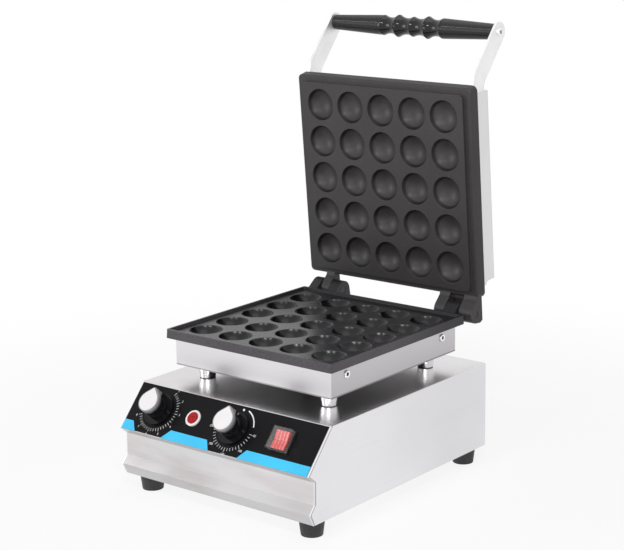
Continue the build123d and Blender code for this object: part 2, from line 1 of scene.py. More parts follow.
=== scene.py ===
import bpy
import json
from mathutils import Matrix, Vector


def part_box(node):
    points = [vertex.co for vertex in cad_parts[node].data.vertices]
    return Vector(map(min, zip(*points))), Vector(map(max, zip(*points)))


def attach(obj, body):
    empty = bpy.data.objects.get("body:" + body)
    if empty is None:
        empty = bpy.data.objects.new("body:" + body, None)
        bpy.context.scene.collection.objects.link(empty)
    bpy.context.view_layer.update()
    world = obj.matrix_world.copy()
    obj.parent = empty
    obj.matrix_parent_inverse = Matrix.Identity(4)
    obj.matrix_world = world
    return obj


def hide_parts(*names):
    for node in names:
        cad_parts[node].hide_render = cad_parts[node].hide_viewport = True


bl_info = {
    "name": "Bubble waffle maker finish",
    "version": (1, 0, 0),
    "blender": (4, 5, 0),
    "location": "3D View > Sidebar > Waffle maker",
    "description": "Finishes, printed dials and small fittings of a bubble waffle maker",
    "category": "Object",
}

import json
import math

import bmesh
import bpy
from bpy.props import FloatProperty, FloatVectorProperty, IntProperty, PointerProperty
from mathutils import Matrix, Vector

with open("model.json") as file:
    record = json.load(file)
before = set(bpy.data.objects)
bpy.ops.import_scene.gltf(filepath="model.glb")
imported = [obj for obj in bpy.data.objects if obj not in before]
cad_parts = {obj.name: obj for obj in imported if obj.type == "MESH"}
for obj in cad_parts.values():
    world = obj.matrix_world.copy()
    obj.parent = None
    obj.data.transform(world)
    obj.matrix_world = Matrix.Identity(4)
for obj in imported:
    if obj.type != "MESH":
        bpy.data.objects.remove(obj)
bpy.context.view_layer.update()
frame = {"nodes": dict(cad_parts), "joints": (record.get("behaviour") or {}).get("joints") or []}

mm = 0.001
joints = {joint["name"]: joint for joint in frame["joints"]}

# The control panel: its joints give the slope, and drops are measured down it from the top fold
timer_seat = Vector(joints["timer_turn"]["pos_m"])
thermostat_seat = Vector(joints["thermostat_turn"]["pos_m"])
panel_out = -Vector(joints["timer_turn"]["axis"]).normalized()
panel_right = Vector((1, 0, 0))
panel_up = panel_out.cross(panel_right)
control_drop = 31.4 * mm
nose_fold_drop = 66.5 * mm

# The lid as it stands open: along runs away from the hinge, behind runs away from the cups
hinge_seat = Vector(joints["lid_hinge"]["pos_m"])
open_angle = math.radians(joints["lid_hinge"]["range_deg"][1])
lid_along = Vector((0, -math.cos(open_angle), math.sin(open_angle)))
lid_behind = Vector((0, math.sin(open_angle), math.cos(open_angle)))
shell_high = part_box("lid_shell")[1]
shell_points = frame["nodes"]["lid_shell"].data.vertices
shell_depth = max((point.co - hinge_seat).dot(lid_behind) for point in shell_points)

# The base, the heating box, and the ground of the lower plate, which stands over the box
base_low, base_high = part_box("base_shell")
housing_low, housing_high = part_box("lower_housing")
plate_over_box = 7.5 * mm
plate_level = housing_high.z + plate_over_box
plate_middle_y = (housing_low.y + housing_high.y) / 2

# The square fields of cups: half their side, and how far from the hinge the lid's has its middle
field_half = 121.0 * mm
lid_field_along = 155.3 * mm

# Front outline of the base's side panels, in mm: height over the bottom, distance from the front
side_outline = ((0.0, 8.6), (13.8, 2.0), (24.2, 10.6), (51.8, 11.2), (61.0, 0.0), (110.0, 43.6))

# The dark line along that outline starts this far behind the front of the base
line_inset = 1.7 * mm

# The handle
grip_low, grip_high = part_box("handle_grip")
grip_middle = (grip_low + grip_high) / 2
arm_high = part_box("handle_arm_right")[1]

# Valleys on each side of the grip's middle, in mm: distance and radius at crest, floor and crest
grip_valleys = (
    ((0.0, 13.0), (11.7, 10.8), (23.4, 14.6)),
    ((23.4, 14.6), (35.1, 10.6), (46.8, 13.2)),
)
grip_end_radius = 9.8


def panel_point(x, drop, lift):
    """A point over the panel: x across it, drop down its slope from the top fold, lift out of it"""
    side = panel_right * (x - timer_seat.x)
    return timer_seat + side + panel_up * (control_drop - drop) + panel_out * lift


def dial_point(seat, degrees, radius, lift, aside=0.0):
    """A point over a dial, at an angle clockwise from its top and aside of that ray"""
    turn = math.radians(degrees)
    out = panel_right * math.sin(turn) + panel_up * math.cos(turn)
    side = panel_right * math.cos(turn) - panel_up * math.sin(turn)
    return seat + out * radius + side * aside + panel_out * lift


def lid_point(x, along, behind):
    """A point on the lid, from its distance along the lid from the hinge and behind the cups"""
    return hinge_seat + Vector((x, 0, 0)) + lid_along * along + lid_behind * behind


# Sizes and colours


class FinishColours(bpy.types.PropertyGroup):
    """Colours of the main finishes"""

    steel: FloatVectorProperty(
        name="Steel", description="Brushed sheet steel", subtype="COLOR", size=4,
        min=0, max=1, default=(0.70, 0.69, 0.70, 1),
    )
    coating: FloatVectorProperty(
        name="Lower coating", description="Non-stick coating of the lower plate",
        subtype="COLOR", size=4, min=0, max=1, default=(0.021, 0.019, 0.022, 1),
    )
    lid_coating: FloatVectorProperty(
        name="Lid coating", description="Non-stick coating of the lid plate",
        subtype="COLOR", size=4, min=0, max=1, default=(0.038, 0.035, 0.036, 1),
    )
    cup: FloatVectorProperty(
        name="Cups", description="Polished coating inside the lower cups", subtype="COLOR",
        size=4, min=0, max=1, default=(0.004, 0.0035, 0.004, 1),
    )
    panel: FloatVectorProperty(
        name="Panel", description="Ground of the printed panel", subtype="COLOR",
        size=4, min=0, max=1, default=(0.007, 0.007, 0.008, 1),
    )
    stripe: FloatVectorProperty(
        name="Stripe", description="Light blue stripes along the foot of the panel",
        subtype="COLOR", size=4, min=0, max=1, default=(0.06, 0.54, 0.87, 1),
    )
    marks: FloatVectorProperty(
        name="Marks", description="Ticks and numbers round the dials", subtype="COLOR",
        size=4, min=0, max=1, default=(0.85, 0.85, 0.87, 1),
    )
    plastic: FloatVectorProperty(
        name="Black plastic", description="Knobs and grip", subtype="COLOR",
        size=4, min=0, max=1, default=(0.007, 0.007, 0.008, 1),
    )
    cap: FloatVectorProperty(
        name="Knob caps", description="Pale metallic caps of the knobs", subtype="COLOR",
        size=4, min=0, max=1, default=(0.80, 0.78, 0.79, 1),
    )
    red: FloatVectorProperty(
        name="Red", description="Rocker of the switch", subtype="COLOR", size=4,
        min=0, max=1, default=(0.62, 0.018, 0.018, 1),
    )


class DialSizes(bpy.types.PropertyGroup):
    """The printed scales round the two knobs"""

    tick_radius: FloatProperty(
        name="Tick radius", description="Inner radius of the ticks", unit="LENGTH",
        default=25.0 * mm,
    )
    tick_length: FloatProperty(
        name="Tick length", description="Length of a tick", unit="LENGTH",
        default=3.9 * mm,
    )
    tick_width: FloatProperty(
        name="Tick width", description="Width of a tick", unit="LENGTH",
        default=0.5 * mm,
    )
    number_radius: FloatProperty(
        name="Number radius", description="Radius of the middle of the numbers",
        unit="LENGTH", default=33.4 * mm,
    )
    number_height: FloatProperty(
        name="Number height", description="Height of the numbers", unit="LENGTH",
        default=4.0 * mm,
    )
    print_lift: FloatProperty(
        name="Print lift", description="Height of the print over the panel",
        unit="LENGTH", default=0.45 * mm,
    )


class GripSizes(bpy.types.PropertyGroup):
    """The turned grip"""

    rib_pitch: FloatProperty(
        name="Rib pitch", description="Distance from one fine rib to the next",
        unit="LENGTH", default=2.2 * mm,
    )
    rib_depth: FloatProperty(
        name="Rib depth", description="Depth of the grooves between the ribs",
        unit="LENGTH", default=0.5 * mm,
    )
    sides: IntProperty(
        name="Sides", description="Facets round the grip", min=16, default=56
    )


class ScrewSizes(bpy.types.PropertyGroup):
    """Heads of the small screws"""

    box_head: FloatProperty(
        name="Box screws", description="Radius of the screw heads on the heating box",
        unit="LENGTH", default=4.9 * mm,
    )
    lid_head: FloatProperty(
        name="Lid screws", description="Radius of the screw heads on the lid shell",
        unit="LENGTH", default=2.4 * mm,
    )
    grip_head: FloatProperty(
        name="Grip screws", description="Radius of the screw heads at the grip's ends",
        unit="LENGTH", default=5.5 * mm,
    )


class StageSizes(bpy.types.PropertyGroup):
    """Floor, lamps and camera"""

    floor_radius: FloatProperty(
        name="Floor radius", description="Radius of the round floor", unit="LENGTH",
        default=30.0,
    )
    lens: FloatProperty(
        name="Lens", description="Focal length for a sensor 36 mm wide", default=101.2
    )
    azimuth: FloatProperty(
        name="Azimuth", description="Turn of the camera to the right of the front",
        subtype="ANGLE", default=math.radians(39.27),
    )
    elevation: FloatProperty(
        name="Elevation", description="How far the camera looks down", subtype="ANGLE",
        default=math.radians(13.63),
    )
    roll: FloatProperty(
        name="Roll", description="Tilt of the camera about its own line of sight",
        subtype="ANGLE", default=math.radians(-0.90),
    )


# Node trees


class Tree:
    """Short calls that add and link the nodes of one material or world"""

    def __init__(self, owner):
        owner.use_nodes = True
        self.owner = owner
        self.tree = owner.node_tree
        self.nodes = self.tree.nodes
        self.nodes.clear()

    def put(self, socket, value):
        """Link a value that comes from another node, and set any other"""
        if isinstance(value, bpy.types.NodeSocket):
            self.tree.links.new(value, socket)
        else:
            socket.default_value = value

    def add(self, kind, inputs=None, **settings):
        """Add a node with its settings, and with values for its inputs by name or number"""
        node = self.nodes.new("ShaderNode" + kind)
        for name, value in settings.items():
            setattr(node, name, value)
        for name, value in (inputs or {}).items():
            self.put(node.inputs[name], value)
        return node

    def math(self, operation, *values):
        return self.add("Math", dict(enumerate(values)), operation=operation).outputs[0]

    def times(self, *values):
        product = values[0]
        for value in values[1:]:
            product = self.math("MULTIPLY", product, value)
        return product

    def plus(self, *values):
        total = values[0]
        for value in values[1:]:
            total = self.math("ADD", total, value)
        return total

    def minus(self, a, b):
        return self.math("SUBTRACT", a, b)

    def size(self, value):
        """A value without its sign"""
        return self.math("ABSOLUTE", value)

    def axes(self, vector):
        """The parts of a vector along X, Y and Z"""
        return self.add("SeparateXYZ", {0: vector}).outputs

    def facing(self):
        """The direction in which the face looks, as its parts along X, Y and Z"""
        return self.axes(self.add("NewGeometry").outputs["True Normal"])

    def stretched(self, vector, scale):
        return self.add("Mapping", {"Vector": vector, "Scale": scale}).outputs[0]

    def along(self, vector, direction, origin):
        """Distance of a point from origin along a direction"""
        shifted = self.add("VectorMath", {0: vector, 1: origin}, operation="SUBTRACT").outputs[0]
        dot = self.add("VectorMath", {0: shifted, 1: direction}, operation="DOT_PRODUCT")
        return dot.outputs["Value"]

    def noise(self, vector, scale, detail=2.0, roughness=0.5):
        inputs = {"Vector": vector, "Scale": scale, "Detail": detail, "Roughness": roughness}
        return self.add("TexNoise", inputs).outputs["Fac"]

    def speckle(self, vector, scale):
        return self.add("TexVoronoi", {"Vector": vector, "Scale": scale}).outputs["Distance"]

    def spread(self, value, low, high, to_low=0.0, to_high=1.0):
        """A value between low and high, put smoothly between two numbers and held beyond them"""
        inputs = {"Value": value, "From Min": low, "From Max": high, "To Min": to_low, "To Max": to_high}
        return self.add("MapRange", inputs, interpolation_type="SMOOTHSTEP").outputs[0]

    def vary(self, noise, to_low, to_high):
        """A noise, which lies mostly between 0.3 and 0.7, put between two numbers"""
        return self.spread(noise, 0.3, 0.7, to_low, to_high)

    def blend(self, share, a, b):
        return self.add("Mix", {"Factor": share, "A": a, "B": b}, data_type="RGBA").outputs["Result"]

    def curve(self, value, points):
        """A value from zero to one, put through straight runs between points"""
        node = self.add("FloatCurve", {"Value": value})
        line = node.mapping.curves[0]
        line.points[0].location, line.points[1].location = points[0], points[-1]
        for spot in points[1:-1]:
            line.points.new(*spot)
        for point in line.points:
            point.handle_type = "VECTOR"
        node.mapping.update()
        return node.outputs[0]

    def shade(self, colour, by):
        """A colour made lighter or darker by a number near one"""
        return self.add("VectorMath", {0: colour, "Scale": by}, operation="SCALE").outputs[0]

    def bump(self, height, distance, strength, edge=0.0):
        """Bumps from a height; edge rounds the look of sharp edges over that radius"""
        inputs = {"Height": height, "Distance": distance, "Strength": strength}
        if edge:
            inputs["Normal"] = self.add("Bevel", {"Radius": edge}, samples=6).outputs[0]
        return self.add("Bump", inputs).outputs[0]

    def finish(self, shader, output="OutputMaterial"):
        """Link a shader to the output, and return the material or the world"""
        self.add(output, {"Surface": shader.outputs[0]})
        return self.owner

    def surface(self, **values):
        """Finish a material with one shader, and return it"""
        inputs = {name.replace("_", " "): value for name, value in values.items()}
        return self.finish(self.add("BsdfPrincipled", inputs))


def new_material(name):
    """The tree of a new material, and the place on the object that its patterns follow"""
    t = Tree(bpy.data.materials.new(name))
    return t, t.add("TexCoord").outputs["Object"]


def rgb(colour):
    return tuple(colour)[:3]


def toned(colour, by=1.0):
    """A colour times a number, with full alpha"""
    return (*(part * by for part in rgb(colour)), 1)


def finish_nodes(material, *names):
    """Give the named solids one material"""
    for name in names:
        slots = frame["nodes"][name].data.materials
        slots.clear()
        slots.append(material)


# Steel


def brushed_steel(name, colour, grain, roughness, dress=None):
    """Sheet steel with fine lines along one axis. grain gives the lines' counts per metre.

    dress is a function that changes the ground, the tone and the polish for one kind of sheet.
    """
    t, place = new_material(name)
    lines = t.noise(t.stretched(place, grain), 1.0, 3.0, 0.6)
    cloud = t.noise(place, 5.0, 2.0, 0.6)
    ground = rgb(colour)
    tone = t.times(t.vary(lines, 0.985, 1.012), t.vary(cloud, 0.94, 1.03))
    polish = t.vary(cloud, roughness - 0.03, roughness + 0.04)
    if dress:
        ground, tone, polish = dress(t, place, ground, tone, polish)
    return t.surface(
        Base_Color=t.shade(ground, tone),
        Metallic=1.0,
        Roughness=polish,
        Normal=t.bump(lines, 0.00003, 0.15),
    )


def dress_wrapper(t, place, ground, tone, polish):
    """Soft streaks, a little more polish on top, and painted shade in the fold under the panel and on
    the nose's upper and lower bevels
    """
    _, lengthwise, level = t.facing()
    height = t.axes(place)[2]
    streaks = t.noise(t.stretched(place, (7.3, 6.1, 26)), 1.0, 3.0, 0.55)
    dark, light = (0.65, 0.61, 0.615, 1), toned(ground, 1.035)
    fold = panel_point(0, nose_fold_drop, 0).z
    # Painted shade on the front faces: darker just under the panel's fold, on the nose's upward bevel
    # and on its lower bevel
    fold_shadow = t.spread(height, fold - 7.0 * mm, fold - 1.5 * mm, 0.0, 0.6)
    upright = t.spread(lengthwise, -0.98, -0.9, 1.0, 0.0)
    under_panel = t.spread(height, fold - 12.0 * mm, fold - 9.0 * mm, 1.0, 0.0)
    nose_top_shade = t.times(t.spread(level, 0.2, 0.4, 0.0, 0.28), under_panel)
    nose_low_shade = t.spread(level, -0.3, -0.1, 0.18, 0.0)
    # dull here is the sum of that painted shade, which darkens the front's tone
    dull = t.plus(t.times(upright, fold_shadow), t.plus(nose_top_shade, nose_low_shade))
    front = t.spread(lengthwise, -0.4, -0.2, 1.0, 0.0)
    ground = t.blend(t.spread(streaks, 0.36, 0.62), dark, light)
    tone = t.times(tone, t.minus(1.0, t.times(front, dull)))
    polish = t.times(polish, t.spread(level, 0.9, 0.98, 1.0, 0.92))
    return ground, tone, polish


def dress_side(t, place, ground, tone, polish):
    """Painted shade that darkens the sheet a little from front to back, and a dark line along the front
    outline
    """
    _, back, height = t.axes(place)
    # Painted shade: a little darker towards the back
    tone = t.times(tone, t.spread(back, base_low.y, base_high.y, 1.0, 0.94))
    top = side_outline[-1][0]
    rise = t.math("DIVIDE", t.minus(height, base_low.z), top * mm)
    line = t.curve(rise, [(up / top, inward / top) for up, inward in side_outline])
    edge = t.plus(t.times(line, top * mm), base_low.y + line_inset)
    off_edge = t.size(t.minus(back, edge))
    tone = t.times(tone, t.spread(off_edge, 0.5 * mm, 1.6 * mm, 0.5, 1.0))
    return ground, tone, polish


def dress_box(t, place, ground, tone, polish):
    """Painted shade: darker sides, darker towards the bottom, and a still darker lower edge and
    underside
    """
    across, _, level = t.facing()
    height = t.axes(place)[2]
    # All painted shade: on the sides, on the underside, towards the bottom and in a band along the lower
    # edge
    sides = t.spread(t.size(across), 0.5, 0.9, 1.0, 0.72)
    under = t.spread(level, -0.9, -0.5, 0.06, 1.0)
    depth = t.spread(height, housing_low.z, housing_high.z, 0.9, 1.0)
    lip_shadow = t.spread(height, housing_low.z + 1.2 * mm, housing_low.z + 2.2 * mm, 0.5, 1.0)
    return ground, t.times(tone, t.times(depth, lip_shadow), t.times(sides, under)), polish


def dress_lid(t, place, ground, tone, polish):
    """A rougher outer face, darkened by painted shade, which lies level when the lid is closed"""
    depth = t.along(place, lid_behind, hinge_seat)
    outer = t.spread(depth, shell_depth - 1.2 * mm, shell_depth - 0.2 * mm)
    # Painted shade: the outer face is darker, which tones down the lamps' reflection on it
    tone = t.times(tone, t.spread(outer, 0.0, 1.0, 1.0, 0.74))
    return ground, tone, t.plus(polish, t.times(outer, 0.12))


def polished_metal(name, colour, roughness, scale=300.0, foot=None):
    """Smooth metal. foot is a height where it stands on something; just above it a painted contact
    shadow makes it darker.
    """
    t, place = new_material(name)
    haze = t.noise(place, scale, 3.0)
    tone = t.vary(haze, 0.94, 1.04)
    # Painted contact shadow just above the foot
    if foot:
        height = t.axes(place)[2]
        tone = t.times(tone, t.spread(height, foot + 0.5 * mm, foot + 1.6 * mm, 0.12, 1.0))
    return t.surface(
        Base_Color=t.shade(colour, tone),
        Metallic=1.0,
        Roughness=t.vary(haze, roughness, roughness + 0.06),
        Normal=t.bump(haze, 0.00002, 0.3),
    )


def satin_aluminium(name, colour):
    """Dull pale metal of the handle's arms"""
    t, place = new_material(name)
    grain = t.noise(place, 700.0, 3.0)
    cloud = t.noise(place, 35.0, 3.0)
    return t.surface(
        Base_Color=t.shade(colour, t.times(t.vary(grain, 0.95, 1.05), t.vary(cloud, 0.95, 1.04))),
        Metallic=1.0,
        Roughness=t.vary(cloud, 0.36, 0.5),
        Normal=t.bump(grain, 0.00005, 0.4),
    )


# Coated castings


def cup_field(t, across, lengthwise, below):
    """Keeps below inside the square field of cups, and is zero outside it"""
    inside = [t.math("LESS_THAN", t.size(off), field_half) for off in (across, lengthwise)]
    return t.times(*inside, below)


def lower_cup_mask(t, place):
    """One inside the cups of the lower plate, zero elsewhere"""
    x, y, z = t.axes(place)
    below = t.spread(z, plate_level - 0.6 * mm, plate_level - 0.1 * mm, 1.0, 0.0)
    return cup_field(t, x, t.minus(y, plate_middle_y), below)


def lower_cup_depth(t, place):
    """Zero near the rim of a cup of the lower plate, one deep in it"""
    return t.spread(t.axes(place)[2], plate_level - 6.0 * mm, plate_level - 2.5 * mm, 1.0, 0.0)


def lid_cup_mask(t, place):
    """One inside the cups of the lid, zero elsewhere"""
    lengthwise = t.along(place, lid_along, lid_point(0, lid_field_along, 0))
    behind = t.along(place, lid_behind, hinge_seat)
    return cup_field(t, t.axes(place)[0], lengthwise, t.spread(behind, 0.0, 0.6 * mm))


def lid_cup_depth(t, place):
    """Zero near the rim of a cup of the lid, one deep in it"""
    return t.spread(t.along(place, lid_behind, hinge_seat), 2.5 * mm, 6.0 * mm)


def coated_casting(
    name, ground, cup, cup_mask, cup_depth, rough_ground, rough_cup, gloss, shade_and_wear, sides=1.0, haze=0.0
):
    """Non-stick coating with a fine grain outside the cups and a polish inside them

    sides is how much lighter the coating is on the upright faces, partly the greyer side of the casting
    and partly painted light, and haze how much rougher deep in the cups than at their rims.
    shade_and_wear is (start, end, share, wear): between two points a painted shade takes the coating
    from full tone down to that share, and its ground gets rougher by wear.
    """
    t, place = new_material(name)
    inside = cup_mask(t, place)
    depth = cup_depth(t, place)
    grain = t.noise(place, 900.0, 3.0, 0.65)
    fleck = t.speckle(place, 1400.0)
    cloud = t.noise(place, 14.0, 2.0)
    start, end, share, wear = shade_and_wear
    run = t.along(place, (end - start).normalized(), start)
    length = (end - start).length
    # Painted shade: the tone goes from full at start down to share at end
    painted_fall = t.spread(run, 0.0, length, 1.0, share)
    tone = t.times(t.vary(grain, 0.78, 1.24), t.vary(cloud, 0.93, 1.07))
    tone = t.plus(tone, t.spread(fleck, 0.0, 0.14, 0.5, 0.0))
    # Upright faces lighter by sides: partly the greyer side of the casting, partly painted light
    upright = t.spread(t.size(t.facing()[2]), 0.3, 0.9, sides, 1.0)
    ground_shade = t.shade(rgb(ground), t.times(tone, painted_fall, upright))
    # Painted shade near the cups' rims and painted light deep in them
    glow = t.times(t.vary(cloud, 0.9, 1.1), t.spread(depth, 0.0, 1.0, 0.25, 1.25))
    cup_shade = t.shade(rgb(cup), t.times(glow, painted_fall))
    worn = t.times(t.spread(run, 0.0, length, 0.0, wear), t.minus(1.0, inside))
    rim = t.spread(inside, 0.0, 1.0, rough_ground, rough_cup)
    dull = t.times(inside, depth, haze)
    height = t.times(grain, t.spread(inside, 0.0, 1.0, 1.0, 0.2))
    return t.surface(
        Base_Color=t.blend(inside, ground_shade, cup_shade),
        Roughness=t.plus(t.vary(grain, -0.04, 0.05), worn, t.plus(rim, dull)),
        Specular_IOR_Level=gloss,
        Normal=t.bump(height, 0.00012, 0.5, edge=1.3 * mm),
    )


# Plastics, rubber and print


def moulded_plastic(name, colour, roughness, texture=500.0, gloss=0.25):
    """Plastic with a fine grain, whose counts per metre are its texture"""
    t, place = new_material(name)
    grain = t.noise(place, texture, 2.0)
    cloud = t.noise(place, 25.0, 2.0)
    tone = t.times(t.vary(grain, 0.92, 1.08), t.vary(cloud, 0.9, 1.1))
    return t.surface(
        Base_Color=t.shade(rgb(colour), tone),
        Roughness=t.vary(cloud, roughness - 0.04, roughness + 0.05),
        Specular_IOR_Level=gloss,
        Normal=t.bump(grain, 0.00003, 0.4),
    )


def knob_plastic(name, colour, pale, seat):
    """Glossy black moulding, with a painted sheen that turns it pale just under its cap"""
    t, place = new_material(name)
    grain = t.noise(place, 600.0, 2.0)
    cloud = t.noise(place, 30.0, 2.0)
    # Painted sheen: a pale band just under the cap
    painted_sheen = t.spread(t.along(place, panel_out, seat), 18.0 * mm, 25.5 * mm)
    ground = t.blend(painted_sheen, toned(colour), toned(pale, 0.42))
    return t.surface(
        Base_Color=t.shade(ground, t.vary(grain, 0.93, 1.07)),
        Roughness=t.vary(cloud, 0.10, 0.16),
        Specular_IOR_Level=0.22,
        Normal=t.bump(grain, 0.00003, 0.3),
    )


def ribbed_rocker(name, colour):
    """Red moulding with pale ribs up and down it"""
    t, place = new_material(name)
    rib_pitch = 4.6 * mm
    wave = t.math("SINE", t.times(t.axes(place)[0], 2 * math.pi / rib_pitch))
    broken = t.noise(place, 160.0, 2.0)
    ribs = t.times(t.spread(wave, 0.1, 0.9), t.spread(broken, 0.3, 0.6, 0.25, 1.0))
    pale = (0.85, 0.24, 0.22, 1)
    return t.surface(
        Base_Color=t.blend(t.times(ribs, 0.75), toned(colour), pale),
        Roughness=t.vary(broken, 0.18, 0.3),
        Coat_Weight=0.2,
        Normal=t.bump(wave, 0.0003, 0.6),
    )


def clear_cover(name, colour):
    """Thin clear moulding over the switch"""
    t, place = new_material(name)
    cloud = t.noise(place, 120.0, 2.0)
    return t.surface(
        Base_Color=t.shade(colour, t.vary(cloud, 0.92, 1.05)),
        Roughness=t.vary(cloud, 0.12, 0.24),
        IOR=1.45,
        Alpha=0.055,
        Normal=t.bump(cloud, 0.0002, 0.3),
    )


def ruby_lens(name, colour):
    """Red lens with fine moulded facets, and painted glints that lighten its colour on them"""
    t, place = new_material(name)
    # This pattern also paints glints into the lens's colour
    facets = t.speckle(place, 420.0)
    return t.surface(
        Base_Color=t.shade(colour, t.spread(facets, 0.0, 0.6, 0.6, 1.5)),
        Roughness=0.2,
        Specular_IOR_Level=0.15,
        Normal=t.bump(facets, 0.0004, 0.5),
    )


def rubber(name, colour):
    """Dull rubber of the feet"""
    t, place = new_material(name)
    grain = t.noise(place, 420.0, 3.0)
    cloud = t.noise(place, 40.0, 2.0)
    return t.surface(
        Base_Color=t.shade(colour, t.vary(grain, 0.8, 1.25)),
        Roughness=t.vary(cloud, 0.5, 0.66),
        Normal=t.bump(grain, 0.00015, 0.5),
    )


def printed(name, colour, roughness, gloss=0.2):
    """Ink on the panel's film, and the lacquer of the knobs' caps"""
    t, place = new_material(name)
    grain = t.noise(place, 1500.0, 2.0)
    cloud = t.noise(place, 18.0, 2.0)
    tone = t.times(t.vary(grain, 0.94, 1.06), t.vary(cloud, 0.96, 1.04))
    return t.surface(
        Base_Color=t.shade(rgb(colour), tone),
        Roughness=t.vary(cloud, roughness - 0.04, roughness + 0.04),
        Specular_IOR_Level=gloss,
        Normal=t.bump(grain, 0.00002, 0.3),
    )


# Objects and meshes


def new_object(name, data):
    piece = bpy.data.objects.new(name, data)
    bpy.context.scene.collection.objects.link(piece)
    return piece


def placed(spot, right, up, out):
    """Matrix of an object at a spot, with its X, Y and Z along three directions"""
    return Matrix.Translation(spot) @ Matrix((right, up, out)).transposed().to_4x4()


def add_piece(name, points, faces, body, material, slot, smooth=False):
    mesh = bpy.data.meshes.new(name)
    mesh.from_pydata([tuple(point) for point in points], [], faces)
    mesh.update()
    for polygon in mesh.polygons:
        polygon.use_smooth = smooth
    mesh.materials.append(material)
    piece = new_object(name, mesh)
    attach(piece, body)
    return piece


def rays(axis):
    """Two directions across an axis and across each other"""
    first = axis.orthogonal().normalized()
    return first, axis.cross(first)


def turned(profile, origin, axis, sides):
    """Points and faces of a profile of (distance along, radius) turned about an axis"""
    axis = axis.normalized()
    first, second = rays(axis)
    points, faces = [], []
    for along, radius in profile:
        for k in range(sides):
            angle = 2 * math.pi * k / sides
            ray = first * math.cos(angle) + second * math.sin(angle)
            points.append(origin + axis * along + ray * radius)
    for row in range(len(profile) - 1):
        for k in range(sides):
            a = row * sides + k
            b = row * sides + (k + 1) % sides
            faces.append((a, b, b + sides, a + sides))
    faces.append(tuple(reversed(range(sides))))
    last = (len(profile) - 1) * sides
    faces.append(tuple(range(last, last + sides)))
    return points, faces


def cross_bar(name, outline, start, end, body, material, slot):
    """Bar along X from start to end, with an outline of points at x = 0"""
    count = len(outline)
    points = [p + panel_right * x for x in (start, end) for p in outline]
    faces = [tuple(reversed(range(count))), tuple(range(count, 2 * count))]
    for k in range(count):
        after = (k + 1) % count
        faces.append((k, after, after + count, k + count))
    return add_piece(name, points, faces, body, material, slot)


def socket_head(name, origin, axis, radius, body, material, recess):
    """Low head with a round socket, whose floor is a dark disc of painted shade, seated on a face with
    its axis out of that face
    """
    rim = [(0.0, 1.0), (0.26, 1.0), (0.40, 0.90), (0.42, 0.78), (0.40, 0.50), (0.30, 0.46)]
    floor = [(0.31, 0.47), (0.32, 0.44)]
    points, faces = turned([(h * radius, r * radius) for h, r in rim], origin, axis, 32)
    add_piece(name, points, faces, body, material, "plain_steel", smooth=True)
    points, faces = turned([(h * radius, r * radius) for h, r in floor], origin, axis, 24)
    add_piece(name + "_socket", points, faces, body, recess, "plain_steel")


def screw_head(name, origin, axis, radius, body, material, recess):
    """Pan head with a cross recess, seated on a face with its axis out of that face"""
    height = radius * 0.42
    profile = [(0.0, radius)]
    for degrees in (20, 40, 60, 78):
        turn = math.radians(degrees)
        profile.append((height * math.sin(turn), radius * (0.25 + 0.75 * math.cos(turn))))
    points, faces = turned(profile, origin, axis, 28)
    add_piece(name, points, faces, body, material, "plain_steel", smooth=True)
    # The cross is two flat dark bars of painted shade: half their length and half their width, as shares
    # of the radius
    reach, half_width = 0.5, 0.11
    first, second = rays(axis)
    middle = origin + axis * height
    corners, cross = [], []
    for ray, side in ((first, second), (second, first)):
        start = len(corners)
        for u, v in ((-1, -1), (1, -1), (1, 1), (-1, 1)):
            corners.append(middle + ray * u * radius * reach + side * v * radius * half_width)
        order = (0, 1, 2, 3) if ray is first else (3, 2, 1, 0)
        cross.append(tuple(start + k for k in order))
    add_piece(name + "_recess", corners, cross, body, recess, "plain_steel")


# Operators


class WAFFLE_OT_steel(bpy.types.Operator):
    """Finish the sheets of base, box and lid, and the rods, pins and heating elements"""

    bl_idname = "waffle.steel"
    bl_label = "Sheet steel"

    def execute(self, context):
        steel = context.scene.waffle_finish.steel
        wrapper = brushed_steel("steel_lines_across", steel, (6, 900, 900), 0.27, dress_wrapper)
        # The side panels take a lighter copy of the base's steel: painted light on the sides
        side = brushed_steel("steel_lines_along", (0.80, 0.79, 0.81), (900, 6, 900), 0.32, dress_side)
        lid = brushed_steel("steel_lid", steel, (900, 900, 6), 0.34, dress_lid)
        box = brushed_steel("steel_box", (0.77, 0.75, 0.77), (5, 5, 1000), 0.32, dress_box)
        plain = brushed_steel("steel_plain", (0.62, 0.62, 0.63), (120, 120, 120), 0.4)
        pin = polished_metal("pin_dark", (0.06, 0.06, 0.06), 0.4)
        element = polished_metal("element_metal", (0.35, 0.32, 0.28), 0.4, scale=90.0)
        finish_nodes(wrapper, "base_shell", "back_panel", "bottom_plate")
        finish_nodes(side, "side_panel_left", "side_panel_right")
        finish_nodes(box, "lower_housing")
        finish_nodes(lid, "lid_shell")
        finish_nodes(plain, "handle_rod", "timer_spindle", "thermostat_spindle")
        finish_nodes(pin, "hinge_pin_left", "hinge_pin_right")
        finish_nodes(element, "lower_heater", "lid_heater")
        return {"FINISHED"}


